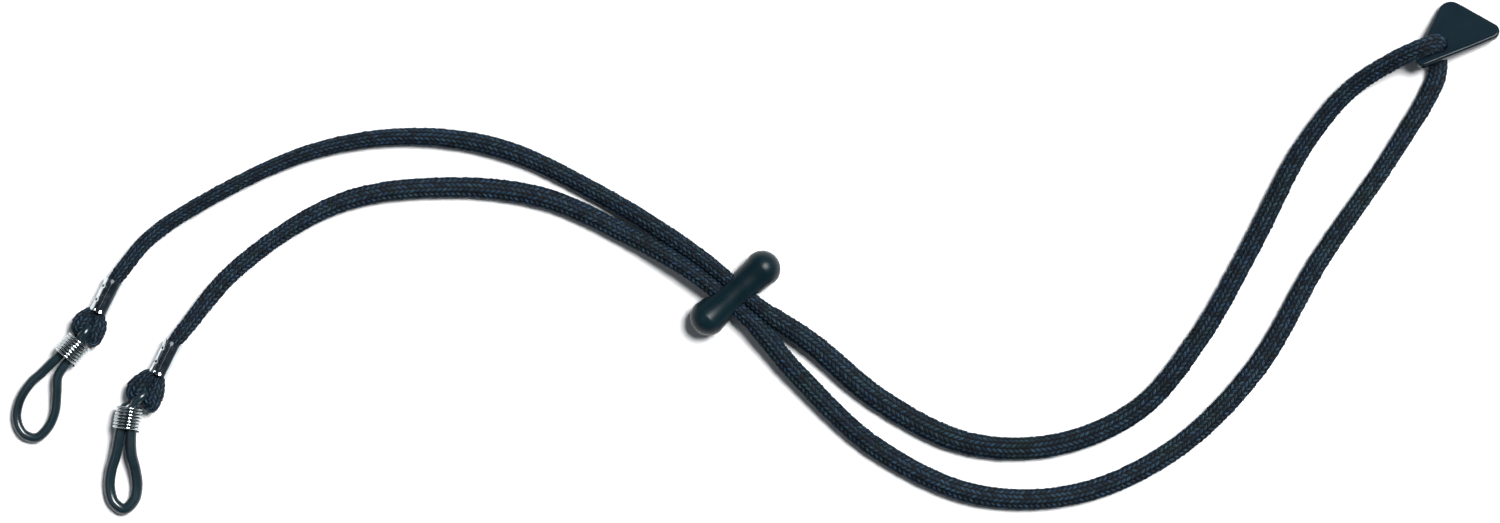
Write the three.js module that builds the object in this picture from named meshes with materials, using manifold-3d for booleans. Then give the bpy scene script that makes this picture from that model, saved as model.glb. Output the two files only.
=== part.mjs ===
// An eyeglass retainer strap, in millimetres, +Z up, lying on the plane z = 0.
// One braided neck cord runs from the left ferrule through the slider bead, through the hole
// of the pull tab and back through the bead to the right ferrule. At each ferrule the cord's
// folded end makes an eye, and a closed rubber ring hangs in the eye. A coil spring pinches
// the ring's two legs, so that the rest of the ring is a loop for a spectacle temple.
import * as THREE from 'three';
import { mergeVertices } from 'three/addons/utils/BufferGeometryUtils.js';
import Module from 'manifold-3d';

const wasm = await Module();
wasm.setup();

const DEG = Math.PI / 180;
const GAP = 0.3;                     // running gap between neighbouring pieces

// Neck cord
const CORD_RADIUS = 1.38;            // as squeezed where it passes the bead and the tab
const CORD_STEPS_PER_SPAN = 2;
const CORD_SIDES = 8;

// Slider bead: a waisted capsule across the two cord runs
const BEAD_CENTRE = new THREE.Vector3(-3.1, -6.4, 3.4);
const BEAD_HEADING = 42 * DEG;       // of its long axis
const BEAD_CAP_RADIUS = 3.4;
const BEAD_CAP_OFFSET = 6.7;         // cap centre to bead centre
const BEAD_WAIST_RADIUS = 2.95;
const BEAD_CAP_POINTS = 7;
const BEAD_WAIST_POINTS = 8;
const BEAD_SIDES = 32;
const SLOT_ARC_SEGMENTS = 6;
const RUN_HEADING = -39.5 * DEG;     // of the cord runs inside the bead
const RUN_OFFSET = 1.55;             // each run's centre to the middle of the two
const RUN_SHIFT = -0.65;             // that middle from the bead's centre, along the bead
const RUN_BEFORE = 9.2;              // straight length before the bead's centre
const RUN_AFTER = 6.2;               // straight length after it

// Pull tab: a rounded three-cornered plate, drawn round the centre of its hole
const TAB_HOLE_CENTRE = new THREE.Vector3(126.8, 39.35, 3.65);
const TAB_TILT = 19 * DEG;           // the end by the hole is lifted by the cord under it
const TAB_THICKNESS = 1.8;
const TAB_BEVEL = 0.35;
const TAB_BEVEL_SEGMENTS = 2;
const TAB_CORNER_SEGMENTS = 10;
const TAB_HOLE_RADIUS = 1.7;
const TAB_HOLE_SIDES = 28;
const TAB_CORNERS = [
  { x: -5.9, y: -5.3, radius: 1.2 },
  { x: 13.2, y: 3.0, radius: 1.5 },
  { x: 2.9, y: 9.2, radius: 2.4 },
];

// Ferrule: sheet rolled round the doubled cord, with an overlapping lap
const FERRULE_LENGTH = 6.8;
const FERRULE_BORE_RADIUS = 1.3;
const FERRULE_SHEET = 0.22;
const FERRULE_RISE_PER_TURN = 0.3;
const FERRULE_START = 20 * DEG;      // angle of the sheet's inner edge, from its left
const FERRULE_SWEEP = 400 * DEG;
const FERRULE_ARC_POINTS = 40;

// Cord eye: the folded cord round a hole
const EYE_HEIGHT = 2.75;             // of its middle plane over the surface
const EYE_HOLE_RADIUS = 0.85;
const EYE_FOLD_RADIUS = 0.75;        // cord radius at the fold, where the rubber pinches it
const EYE_ROOT_RADIUS = 1.0;         // cord radius on the ferrule's side
const EYE_STEPS = 32;
const EYE_SIDES = 12;
const EYE_NECK_RADIUS = 1.1;         // the two plies together inside the ferrule
const EYE_NECK_SIDES = 16;
const EYE_ASIDE = 0.45;              // eye's centre to the left of the ferrule's axis

// Rubber ring
const RUBBER_RADIUS = 1.05;          // free
const RUBBER_PINCHED = 0.72;         // in the eye and in the coil
const RUBBER_SWELL = 2.0;            // length over which it swells below the coil
const RUBBER_STEPS = 84;
const RUBBER_SIDES = 10;
const CLASP_RADIUS = 1.55;           // rubber centre line round the fold
const CLASP_ANGLES = [64, 97, 138, 180, 222, 263, 296];
const LEG_OFFSET = 1.05;             // leg centre to the coil's axis
const LEG_SPREAD = 0.8;              // share of that offset at the coil's mouth
const LEG_LIFT = 0.6;                // one leg over the other at the coil's mouth
const LEG_ENTRY = 0.5;               // from the mouth to where one leg is over the other
const LEG_LEVEL = 1.8;               // from the mouth to where the legs run level

// Coil spring
const COIL_WIRE_RADIUS = 0.25;
const COIL_RADIUS = 2.35;            // to the wire's centre
const COIL_TURNS = 7;
const COIL_PITCH = 0.61;
const COIL_STEPS_PER_TURN = 14;
const COIL_WIRE_SIDES = 6;

// The neck cord's route, from the left ferrule to the right one. The two stretches through
// the bead are straight, so the bead can slide there.
const CORD_ROUTE = [
  [-117.8, -3.8, 2.75],
  [-111.4, 3.9, 1.9],
  [-97.9, 12.5, 1.55],
  [-81.5, 19.8, 1.55],
  [-64.5, 22.6, 1.55],
  [-47.0, 20.5, 1.55],
  [-28.5, 12.1, 1.6],
  'run in upper',
  'run out upper',
  [10.6, -15.3, 2.4],
  [24.0, -26.4, 1.55],
  [40.0, -34.2, 1.55],
  [56.6, -34.4, 1.55],
  [71.7, -27.8, 1.55],
  [82.6, -15.0, 1.55],
  [92.4, 2.1, 1.55],
  [101.8, 20.2, 1.6],
  [110.3, 30.9, 2.4],
  [118.5, 36.5, 5.6],
  [124.4, 39.2, 6.8],
  [126.7, 39.75, 5.0],
  [126.8, 39.0, 2.8],
  [126.9, 37.7, 1.65],
  [126.8, 33.7, 1.55],
  [118.6, 19.3, 1.55],
  [105.4, 0.1, 1.55],
  [93.1, -20.7, 1.55],
  [78.0, -35.5, 1.55],
  [60.0, -43.6, 1.55],
  [41.1, -43.6, 1.55],
  [22.8, -34.9, 1.55],
  [8.4, -21.4, 2.4],
  'run out lower',
  'run in lower',
  [-23.7, 4.7, 1.9],
  [-38.5, 11.2, 1.55],
  [-56.0, 13.2, 1.55],
  [-76.0, 10.4, 1.55],
  [-95.1, -1.6, 1.55],
  [-106.7, -15.2, 2.75],
];

// The two ends: where each ferrule ends, which way it points back up the cord, where the coil
// begins and points, and the rubber loop's centre line from one leg round the tip to the other.
const ENDS = {
  left: {
    ferruleEnd: [-120.9, -10.1],
    ferruleHeading: 63.4 * DEG,
    ferruleToEye: 3.1,
    coilStart: [-124.2, -15.05],
    coilHeading: 227.3 * DEG,
    loop: [
      [-128.4, -21.7, 2.5],
      [-128.7, -24.9, 1.9],
      [-129.1, -28.4, 1.3],
      [-130.4, -31.3, 1.1],
      [-132.6, -33.2, 1.1],
      [-135.0, -32.4, 1.1],
      [-136.2, -29.7, 1.1],
      [-135.6, -26.3, 1.4],
      [-133.6, -23.1, 2.0],
      [-131.3, -21.0, 2.5],
    ],
  },
  right: {
    ferruleEnd: [-109.9, -21.6],
    ferruleHeading: 63.6 * DEG,
    ferruleToEye: 3.9,
    coilStart: [-115.1, -27.3],
    coilHeading: 260 * DEG,
    loop: [
      [-114.9, -36.0, 2.3],
      [-114.2, -39.2, 1.7],
      [-113.9, -42.2, 1.2],
      [-114.5, -44.8, 1.1],
      [-116.3, -46.4, 1.1],
      [-118.2, -45.2, 1.1],
      [-119.0, -42.4, 1.2],
      [-118.7, -39.4, 1.7],
      [-117.7, -36.0, 2.3],
    ],
  },
};

const MATERIALS = {
  cord: { color: 0x1f2b38, roughness: 0.9, metalness: 0 },
  bead: { color: 0x182a34, roughness: 0.5, metalness: 0 },
  tab: { color: 0x1d2c36, roughness: 0.35, metalness: 0 },
  metal: { color: 0xc8ccce, roughness: 0.2, metalness: 1 },
  rubber: { color: 0x14252c, roughness: 0.4, metalness: 0 },
};

function makeMesh(name, geometry, look) {
  const mesh = new THREE.Mesh(geometry, new THREE.MeshStandardMaterial(MATERIALS[look]));
  mesh.name = name;
  return mesh;
}

function levelDirection(heading) {
  return new THREE.Vector3(Math.cos(heading), Math.sin(heading), 0);
}

function leftOf(direction) {
  return new THREE.Vector3(-direction.y, direction.x, 0);
}

// Places a mesh made along its own +Z so that it runs level along `heading`, own +Y up.
function layAlong(mesh, start, heading) {
  const forward = levelDirection(heading);
  const up = new THREE.Vector3(0, 0, 1);
  const basis = new THREE.Matrix4().makeBasis(leftOf(forward), up, forward);
  mesh.quaternion.setFromRotationMatrix(basis);
  mesh.position.copy(start);
}

function toSolid(geometry) {
  const bare = geometry.clone();
  bare.deleteAttribute('normal');
  bare.deleteAttribute('uv');
  const merged = mergeVertices(bare);
  return new wasm.Manifold(new wasm.Mesh({
    numProp: 3,
    vertProperties: merged.attributes.position.array,
    triVerts: new Uint32Array(merged.index.array),
  }));
}

function toGeometry(solid) {
  const mesh = solid.getMesh();
  const geometry = new THREE.BufferGeometry();
  geometry.setAttribute('position', new THREE.BufferAttribute(mesh.vertProperties, 3));
  geometry.setIndex(new THREE.BufferAttribute(mesh.triVerts, 1));
  return geometry;
}

// A solid of round section swept along a curve, where radiusOf(point) is the section's radius.
function sweepRound(curve, steps, sides, radiusOf, closed) {
  const frames = curve.computeFrenetFrames(steps, closed);
  const rings = closed ? steps : steps + 1;
  const positions = [];
  const indices = [];
  for (let ring = 0; ring < rings; ring += 1) {
    const centre = curve.getPointAt(ring / steps);
    const radius = radiusOf(centre);
    for (let side = 0; side < sides; side += 1) {
      const angle = (side / sides) * 2 * Math.PI;
      const point = centre.clone();
      point.addScaledVector(frames.normals[ring], radius * Math.cos(angle));
      point.addScaledVector(frames.binormals[ring], radius * Math.sin(angle));
      positions.push(point.x, point.y, point.z);
    }
  }
  for (let ring = 0; ring < steps; ring += 1) {
    for (let side = 0; side < sides; side += 1) {
      const next = (side + 1) % sides;
      const here = ring * sides;
      const there = ((ring + 1) % rings) * sides;
      indices.push(here + side, here + next, there + side);
      indices.push(here + next, there + next, there + side);
    }
  }
  const geometry = new THREE.BufferGeometry();
  geometry.setAttribute('position', new THREE.Float32BufferAttribute(positions, 3));
  geometry.setIndex(indices);
  return geometry;
}

// Follows its points at their own spacing, so that the tight turns get the short steps.
class CordRoute extends THREE.CatmullRomCurve3 {
  getPointAt(t, target) {
    return this.getPoint(t, target);
  }

  getTangentAt(t, target) {
    return this.getTangent(t, target);
  }
}

class Helix extends THREE.Curve {
  getPoint(t, target = new THREE.Vector3()) {
    const angle = t * COIL_TURNS * 2 * Math.PI;
    const along = COIL_WIRE_RADIUS + t * COIL_TURNS * COIL_PITCH;
    return target.set(COIL_RADIUS * Math.cos(angle), COIL_RADIUS * Math.sin(angle), along);
  }
}

// How far round the eye from the fold (0) to the ferrule (1) a point is, eased at both ends.
function rootShare(point) {
  return (1 - Math.cos(Math.atan2(Math.abs(point.y), point.x))) / 2;
}

function eyeCordRadius(point) {
  return THREE.MathUtils.lerp(EYE_FOLD_RADIUS, EYE_ROOT_RADIUS, rootShare(point) ** 2);
}

// The eye's centre line, round its hole, with the fold towards +X.
class EyeRing extends THREE.Curve {
  getPoint(t, target = new THREE.Vector3()) {
    target.set(Math.cos(t * 2 * Math.PI), Math.sin(t * 2 * Math.PI), 0);
    return target.multiplyScalar(EYE_HOLE_RADIUS + eyeCordRadius(target));
  }
}

function circleShape(radius) {
  return new THREE.Shape().absarc(0, 0, radius, 0, 2 * Math.PI);
}

// A stretch of cord inside the bead: side is +1 for the upper run and -1 for the lower one.
function runPoint(side, along) {
  const forward = levelDirection(RUN_HEADING);
  const point = BEAD_CENTRE.clone().addScaledVector(levelDirection(BEAD_HEADING), RUN_SHIFT);
  point.addScaledVector(leftOf(forward), side * RUN_OFFSET);
  return point.addScaledVector(forward, along);
}

const RUN_POINTS = {
  'run in upper': runPoint(1, -RUN_BEFORE),
  'run out upper': runPoint(1, RUN_AFTER),
  'run out lower': runPoint(-1, RUN_AFTER),
  'run in lower': runPoint(-1, -RUN_BEFORE),
};

function neckCord() {
  const points = CORD_ROUTE.map((p) => RUN_POINTS[p] ?? new THREE.Vector3(...p));
  const geometry = new THREE.ExtrudeGeometry(circleShape(CORD_RADIUS), {
    steps: (points.length - 1) * CORD_STEPS_PER_SPAN,
    extrudePath: new CordRoute(points),
    curveSegments: CORD_SIDES / 2,
  });
  return makeMesh('neck_cord', geometry, 'cord');
}

function beadProfile() {
  const points = [new THREE.Vector2(0, -BEAD_CAP_OFFSET - BEAD_CAP_RADIUS)];
  for (let i = 1; i <= BEAD_CAP_POINTS; i += 1) {
    const angle = (i / BEAD_CAP_POINTS) * (Math.PI / 2);
    const y = -BEAD_CAP_OFFSET - BEAD_CAP_RADIUS * Math.cos(angle);
    points.push(new THREE.Vector2(BEAD_CAP_RADIUS * Math.sin(angle), y));
  }
  for (let i = 1; i < BEAD_WAIST_POINTS; i += 1) {
    const share = i / BEAD_WAIST_POINTS;
    const dip = (BEAD_CAP_RADIUS - BEAD_WAIST_RADIUS) * Math.sin(share * Math.PI) ** 2;
    const y = -BEAD_CAP_OFFSET + share * 2 * BEAD_CAP_OFFSET;
    points.push(new THREE.Vector2(BEAD_CAP_RADIUS - dip, y));
  }
  for (let i = BEAD_CAP_POINTS; i >= 0; i -= 1) {
    points.push(new THREE.Vector2(points[i].x, -points[i].y));
  }
  return points;
}

function sliderBead() {
  const body = new THREE.LatheGeometry(beadProfile(), BEAD_SIDES);
  body.rotateZ(BEAD_HEADING - Math.PI / 2);
  const slotLength = 4 * BEAD_CAP_RADIUS;      // longer than the bead is thick
  const slotRadius = CORD_RADIUS + GAP;
  const slotShape = new THREE.Shape();
  slotShape.absarc(RUN_OFFSET, 0, slotRadius, -Math.PI / 2, Math.PI / 2);
  slotShape.absarc(-RUN_OFFSET, 0, slotRadius, Math.PI / 2, 1.5 * Math.PI);
  slotShape.closePath();
  const slot = new THREE.ExtrudeGeometry(slotShape, {
    depth: slotLength,
    bevelEnabled: false,
    curveSegments: SLOT_ARC_SEGMENTS,
  });
  const forward = levelDirection(RUN_HEADING);
  const basis = new THREE.Matrix4().makeBasis(leftOf(forward), new THREE.Vector3(0, 0, 1), forward);
  slot.translate(0, 0, -slotLength / 2);
  slot.applyMatrix4(basis);
  slot.translate(...levelDirection(BEAD_HEADING).multiplyScalar(RUN_SHIFT));
  const mesh = makeMesh('slider_bead', toGeometry(toSolid(body).subtract(toSolid(slot))), 'bead');
  mesh.position.copy(BEAD_CENTRE);
  return mesh;
}

// An outline of straight sides and round corners.
function roundedPolygon(corners) {
  const shape = new THREE.Shape();
  corners.forEach((corner, i) => {
    const here = new THREE.Vector2(corner.x, corner.y);
    const before = corners[(i + corners.length - 1) % corners.length];
    const after = corners[(i + 1) % corners.length];
    const back = new THREE.Vector2(before.x, before.y).sub(here).normalize();
    const ahead = new THREE.Vector2(after.x, after.y).sub(here).normalize();
    const halfAngle = Math.acos(back.dot(ahead)) / 2;
    const bisector = back.clone().add(ahead).normalize();
    const centre = here.clone().addScaledVector(bisector, corner.radius / Math.sin(halfAngle));
    const first = Math.atan2(-back.x, back.y) + Math.PI;
    const turn = Math.PI - 2 * halfAngle;
    shape.absarc(centre.x, centre.y, corner.radius, first, first + turn);
  });
  shape.closePath();
  return shape;
}

function pullTab() {
  const plate = new THREE.ExtrudeGeometry(roundedPolygon(TAB_CORNERS), {
    depth: TAB_THICKNESS - 2 * TAB_BEVEL,
    bevelThickness: TAB_BEVEL,
    bevelSize: TAB_BEVEL,
    bevelOffset: -TAB_BEVEL,
    bevelSegments: TAB_BEVEL_SEGMENTS,
    curveSegments: TAB_CORNER_SEGMENTS,
  });
  plate.translate(0, 0, TAB_BEVEL - TAB_THICKNESS / 2);
  const hole = new THREE.CylinderGeometry(
    TAB_HOLE_RADIUS, TAB_HOLE_RADIUS, 2 * TAB_THICKNESS, TAB_HOLE_SIDES);
  hole.rotateX(Math.PI / 2);
  const mesh = makeMesh('pull_tab', toGeometry(toSolid(plate).subtract(toSolid(hole))), 'tab');
  mesh.position.copy(TAB_HOLE_CENTRE);
  mesh.rotation.x = -TAB_TILT;
  return mesh;
}

// The end of the rolled sheet as an outline: out along its outer face, back along its inner.
function rolledSheet() {
  const outline = [];
  const facePoint = (share, lift) => {
    const turned = share * FERRULE_SWEEP;
    const rise = FERRULE_RISE_PER_TURN * (turned / (2 * Math.PI));
    const radius = FERRULE_BORE_RADIUS + rise + lift;
    const angle = FERRULE_START + turned;
    return new THREE.Vector2(radius * Math.cos(angle), radius * Math.sin(angle));
  };
  for (let i = 0; i <= FERRULE_ARC_POINTS; i += 1) {
    outline.push(facePoint(i / FERRULE_ARC_POINTS, FERRULE_SHEET));
  }
  for (let i = FERRULE_ARC_POINTS; i >= 0; i -= 1) {
    outline.push(facePoint(i / FERRULE_ARC_POINTS, 0));
  }
  return new THREE.Shape(outline);
}

function ferrule(side) {
  const end = ENDS[side];
  const geometry = new THREE.ExtrudeGeometry(rolledSheet(), {
    depth: FERRULE_LENGTH,
    bevelEnabled: false,
  });
  const mesh = makeMesh(`ferrule_${side}`, geometry, 'metal');
  layAlong(mesh, new THREE.Vector3(...end.ferruleEnd, EYE_HEIGHT), end.ferruleHeading);
  return mesh;
}

function eyeCentre(end) {
  const centre = new THREE.Vector3(...end.ferruleEnd, EYE_HEIGHT);
  const forward = levelDirection(end.ferruleHeading);
  centre.addScaledVector(forward, -end.ferruleToEye);
  return centre.addScaledVector(leftOf(forward), EYE_ASIDE);
}

function cordEye(side) {
  const end = ENDS[side];
  const ring = sweepRound(new EyeRing(), EYE_STEPS, EYE_SIDES, eyeCordRadius, true);
  const neckStart = EYE_HOLE_RADIUS + EYE_ROOT_RADIUS;
  const neckLength = end.ferruleToEye + FERRULE_LENGTH - neckStart;
  const neck = new THREE.CylinderGeometry(
    EYE_NECK_RADIUS, EYE_NECK_RADIUS, neckLength, EYE_NECK_SIDES);
  neck.rotateZ(Math.PI / 2);
  neck.translate(-neckStart - neckLength / 2, EYE_ASIDE, 0);
  const geometry = toGeometry(toSolid(ring).add(toSolid(neck)));
  const mesh = makeMesh(`cord_eye_${side}`, geometry, 'cord');
  mesh.position.copy(eyeCentre(end));
  mesh.rotation.z = end.ferruleHeading + Math.PI;
  return mesh;
}

// The rubber's centre line: the clasp round the eye's fold, one leg through the coil, the
// loop, and the other leg back.
function rubberRoute(end) {
  const eye = eyeCentre(end);
  const mouth = new THREE.Vector3(...end.coilStart, EYE_HEIGHT);
  const outward = mouth.clone().sub(eye).normalize();
  const fold = eye.clone().addScaledVector(outward, EYE_HOLE_RADIUS + EYE_FOLD_RADIUS);
  const clasp = CLASP_ANGLES.map((angle) => {
    const point = fold.clone().addScaledVector(outward, CLASP_RADIUS * Math.cos(angle * DEG));
    point.z += CLASP_RADIUS * Math.sin(angle * DEG);
    return point;
  });
  const axis = levelDirection(end.coilHeading);
  const leg = (sideways, along, lift) => {
    const point = mouth.clone().addScaledVector(axis, along);
    point.addScaledVector(leftOf(axis), sideways * LEG_OFFSET);
    point.z += lift;
    return point;
  };
  const coilLength = COIL_TURNS * COIL_PITCH;
  const lower = [leg(-LEG_SPREAD, LEG_ENTRY, -LEG_LIFT), leg(-1, LEG_LEVEL, 0), leg(-1, coilLength, 0)];
  const upper = [leg(1, coilLength, 0), leg(1, LEG_LEVEL, 0), leg(LEG_SPREAD, LEG_ENTRY, LEG_LIFT)];
  return { clasp, upper, lower };
}

function templeLoop(side) {
  const end = ENDS[side];
  const { clasp, upper, lower } = rubberRoute(end);
  const loop = end.loop.map((p) => new THREE.Vector3(...p));
  const curve = new THREE.CatmullRomCurve3([...clasp, ...lower, ...loop.reverse(), ...upper], true);
  const eye = eyeCentre(end);
  const coilStart = new THREE.Vector3(...end.coilStart, EYE_HEIGHT);
  const pinchedTo = eye.distanceTo(coilStart) + COIL_TURNS * COIL_PITCH + COIL_PITCH;
  const radiusOf = (point) => {
    const swollenAt = pinchedTo + RUBBER_SWELL;
    const share = THREE.MathUtils.smoothstep(point.distanceTo(eye), pinchedTo, swollenAt);
    return THREE.MathUtils.lerp(RUBBER_PINCHED, RUBBER_RADIUS, share);
  };
  const geometry = sweepRound(curve, RUBBER_STEPS, RUBBER_SIDES, radiusOf, true);
  return makeMesh(`temple_loop_${side}`, geometry, 'rubber');
}

function coilSpring(side) {
  const end = ENDS[side];
  const geometry = new THREE.ExtrudeGeometry(circleShape(COIL_WIRE_RADIUS), {
    steps: COIL_TURNS * COIL_STEPS_PER_TURN,
    extrudePath: new Helix(),
    curveSegments: COIL_WIRE_SIDES / 2,
  });
  const mesh = makeMesh(`coil_spring_${side}`, geometry, 'metal');
  layAlong(mesh, new THREE.Vector3(...end.coilStart, EYE_HEIGHT), end.coilHeading);
  return mesh;
}

const strap = new THREE.Group();
strap.add(neckCord(), sliderBead(), pullTab());
for (const side of Object.keys(ENDS)) {
  strap.add(ferrule(side), cordEye(side), templeLoop(side), coilSpring(side));
}

export default strap;
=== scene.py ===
"""Looks of the eyeglass retainer strap, in metres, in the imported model's own frame."""

import math

import bpy
import numpy as np
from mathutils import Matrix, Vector


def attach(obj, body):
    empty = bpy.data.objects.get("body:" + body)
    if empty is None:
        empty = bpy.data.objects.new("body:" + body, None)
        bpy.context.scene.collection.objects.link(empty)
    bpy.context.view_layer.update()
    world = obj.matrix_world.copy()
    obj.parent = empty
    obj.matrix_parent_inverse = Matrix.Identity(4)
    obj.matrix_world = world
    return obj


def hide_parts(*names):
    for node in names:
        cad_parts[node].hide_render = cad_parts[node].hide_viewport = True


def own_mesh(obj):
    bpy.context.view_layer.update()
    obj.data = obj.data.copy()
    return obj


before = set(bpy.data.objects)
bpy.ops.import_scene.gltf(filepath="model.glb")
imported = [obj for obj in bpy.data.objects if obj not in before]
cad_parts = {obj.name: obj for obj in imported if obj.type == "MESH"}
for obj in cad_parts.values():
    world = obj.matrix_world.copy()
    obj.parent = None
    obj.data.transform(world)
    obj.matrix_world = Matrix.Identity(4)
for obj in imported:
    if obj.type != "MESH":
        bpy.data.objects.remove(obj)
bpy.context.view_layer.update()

UP = np.array([0.0, 0.0, 1.0])
TURN = 2 * math.pi

# ---------------------------------------------------------------- driving dimensions, metres

# Camera: straight down, with a long lens
VIEW_WIDTH = 0.2778
VIEW_CENTRE = (-0.00037, -0.00056)
CAMERA_HEIGHT = 1.6
SENSOR_WIDTH = 36.0                  # millimetres, as Blender keeps it
FOCUS_HEIGHT = 0.0015                # the height at which VIEW_WIDTH is true
CLIP_RATIO = 10                      # camera's height to its near clip, and far clip to that

# Slider bead: a waisted capsule with a slot for the two cord runs
BEAD_CENTRE = np.array([-0.0031, -0.0064, 0.0034])
BEAD_HEADING = math.radians(42)
BEAD_CAP_RADIUS = 0.0034
BEAD_CAP_OFFSET = 0.0067             # from its centre to the centre of each round end
BEAD_WAIST_RADIUS = 0.00304
BEAD_SLOT_RADIUS = 0.00166
BEAD_SLOT_EDGE = 0.0005              # rounding of the slot's mouth
RUN_HEADING = math.radians(-39.5)
RUN_OFFSET = 0.00155                 # each run to the slot's middle
RUN_SHIFT = -0.00065                 # of the two runs' middle, along the bead
RUN_BEFORE = 0.0092                  # straight lengths of both runs, up to the slot's middle
RUN_AFTER = 0.0062                   # and from it

# Pull tab: the hull of three discs, round the centre of its hole
TAB_HOLE_CENTRE = np.array([0.1268, 0.03935, 0.00365])
TAB_TILT = math.radians(-19)
TAB_THICKNESS = 0.0018
TAB_EDGE = 0.00042                   # rounding of its rim
TAB_HOLE_RADIUS = 0.0017
TAB_HOLE_EDGE = 0.00035              # rounding of the hole's rim
TAB_DISCS = [                        # (x, y, radius)
    (-0.00290, -0.00305, 0.0012),
    (0.01000, 0.00272, 0.0015),
    (0.00263, 0.00613, 0.0024),
]

# Ferrule: sheet rolled round the doubled cord, its outer edge lapping over its inner one
FERRULE_LENGTH = 0.0068
FERRULE_BORE_RADIUS = 0.0013
FERRULE_SHEET = 0.00022
FERRULE_RISE_PER_TURN = 0.0003       # so that the sheet's outer end clears its inner one
FERRULE_START = math.radians(20)     # angle of the inner edge, from the sheet's left
FERRULE_SWEEP = math.radians(400)
FERRULE_LIP = 0.00013                # how far the ends flare
FERRULE_LIP_LENGTH = 0.00045
DIMPLE_ANGLE = math.radians(40)
DIMPLE_PLACES = (0.00215, 0.00495)   # along the ferrule from its eye end
DIMPLE_RADIUS = 0.00036
DIMPLE_DEPTH = 0.00022
DIMPLE_ARC_RADIUS = 1.3 * FERRULE_BORE_RADIUS   # turns angles at a dimple into lengths
DIMPLE_RIM_HEIGHT = 0.2 * DIMPLE_DEPTH
DIMPLE_RIM_PLACE = 1.35              # of the dimple's radius, as is the rim's width
DIMPLE_RIM_WIDTH = 0.3

# Cord eye, in its own frame: x away from the ferrule, y to the side, z up
EYE_HEIGHT = 0.00275
EYE_ASIDE = 0.00045                  # eye's centre to the left of the ferrule's axis
EYE_PLY_OFFSET = 0.00058             # each ply to the ferrule's axis, inside the ferrule
EYE_PLY_SIZE = (0.00060, 0.00108)    # half its width and half its height there
EYE_TUCK = 0.0022                    # length of each ply inside the ferrule
EYE_SPREAD = EYE_TUCK / 4            # the last part of that, where the plies spread
EYE_SHOULDER = 0.0008                # from the ferrule's mouth to where the plies bulge
EYE_SHOULDER_SIZE = (0.00108, 0.00120, 0.00145)   # ply's place to the side, and its size
EYE_FINENESS = 2                     # mesh points per stitch, against the neck cord's

# The eye's cord: (ahead of its centre, to its side, half its width, half its height)
EYE_FOLD = (0.0016, 0.0, 0.00076, 0.00062)
EYE_FULL_SIDE = [
    (0.0019, 0.00195, 0.00122, 0.00150),
    (0.0004, 0.00150, 0.00187, 0.00205),
    (-0.0012, 0.00138, 0.00170, 0.00185),
]
EYE_SLIM_SIDE = [
    (0.0013, -0.00165, 0.00125, 0.00150),
    (0.0004, -0.00162, 0.00180, 0.00198),
    (-0.0010, -0.00145, 0.00170, 0.00185),
]

# Rubber ring: a clasp round the eye's fold, two legs through the coil, and the loop
RUBBER_RADIUS = 0.00105
RUBBER_CLASP = 0.00086               # its radius in the eye
RUBBER_PINCHED = 0.00101             # and in the coil
RUBBER_SWELL = 0.002                 # length over which it swells below the coil
CLASP_RADIUS = 0.00155               # the clasp's level reach from the fold
CLASP_HEIGHT = 0.00122               # and its reach over and under it
CLASP_ANGLES = (64, 97, 138, 180, 222, 263, 296)   # degrees, up from the way to the coil
LEG_OFFSET = 0.00100                 # each leg to the coil's axis
LEG_ENTRY = 0.0005                   # from the mouth to where one leg is over the other
LEG_STRAIGHT = 0.0018                # from the coil's mouth to where the legs run level
LEG_SPREAD = 0.8                     # share of the leg's offset at the coil's mouth
LEG_LIFT = 0.0006                    # of one leg there, and drop of the other

# Coil spring
COIL_WIRE_RADIUS = 0.00022
COIL_RADIUS = 0.00235                # to the middle of the wire
COIL_TURNS = 7
COIL_PITCH = 0.00061
COIL_LENGTH = COIL_TURNS * COIL_PITCH
COIL_TIP_CUT = 0.9                   # share of the wire's section that its rounded tips lose

# Braid: stitches in columns round the cord, leaning left and right by turns
BRAID_PITCH = 0.0010
BRAID_COLUMNS = 12
BRAID_SIDES_PER_COLUMN = 3
BRAID_ROWS_PER_STITCH = 4
BRAID_LEAN = 0.84                    # stitches that a yarn advances across its column
BRAID_STAGGER = 0.4                  # of a stitch, between neighbouring columns
BRAID_DEPTH = 0.00042
BRAID_EDGE = 0.18                    # height of a stitch's two long edges, of its crown's
BRAID_ROUNDNESS_ACROSS = 0.75        # power of a sine: below 1 the crown is flatter
BRAID_ROUNDNESS_ALONG = 0.6
BRAID_ROUGHNESS = 0.00004            # random difference in height between stitches
BRAID_STRANDS = 2                    # in each stitch
BRAID_FIBRES = 12                    # fibre bundles that show along each stitch
BRAID_NESTING = BRAID_DEPTH / 3      # how far stitches of touching runs sink together

# Neck cord
CORD_SECTION = 2.62e-6               # half-width times half-height, square metres
CORD_HALF_HEIGHT_MOST = 0.0015
CORD_HALF_WIDTH_IN_BEAD = 0.00146
CORD_TUCK = 0.0008                   # length of it inside each ferrule
CORD_TUCK_RADIUS = 0.00122
CORD_TAPER = 2.5 * CORD_TUCK         # length over which each end narrows to that radius
CORD_TAPER_POWER = 0.7               # below 1 it narrows mostly near its tip
CORD_LEVELLING = 0.003               # length over which its twist is evened out
CORD_RUN_APART = 0.03                # points further apart along it are on different runs

# Random seeds
CORD_SEED = 3
EYE_SEED = 11

# Light: a soft distant key and a weak fill, both aimed at the part's middle
KEY_PLACE = (0.56, 0.45, 1.32)
KEY_ANGLE = math.radians(24)         # how wide it looks
KEY_STRENGTH = 5.6                   # watts per square metre
FILL_PLACE = (-0.9, -0.3, 1.3)
FILL_SIZE = 0.9
FILL_POWER = 1.5                     # watts

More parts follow.
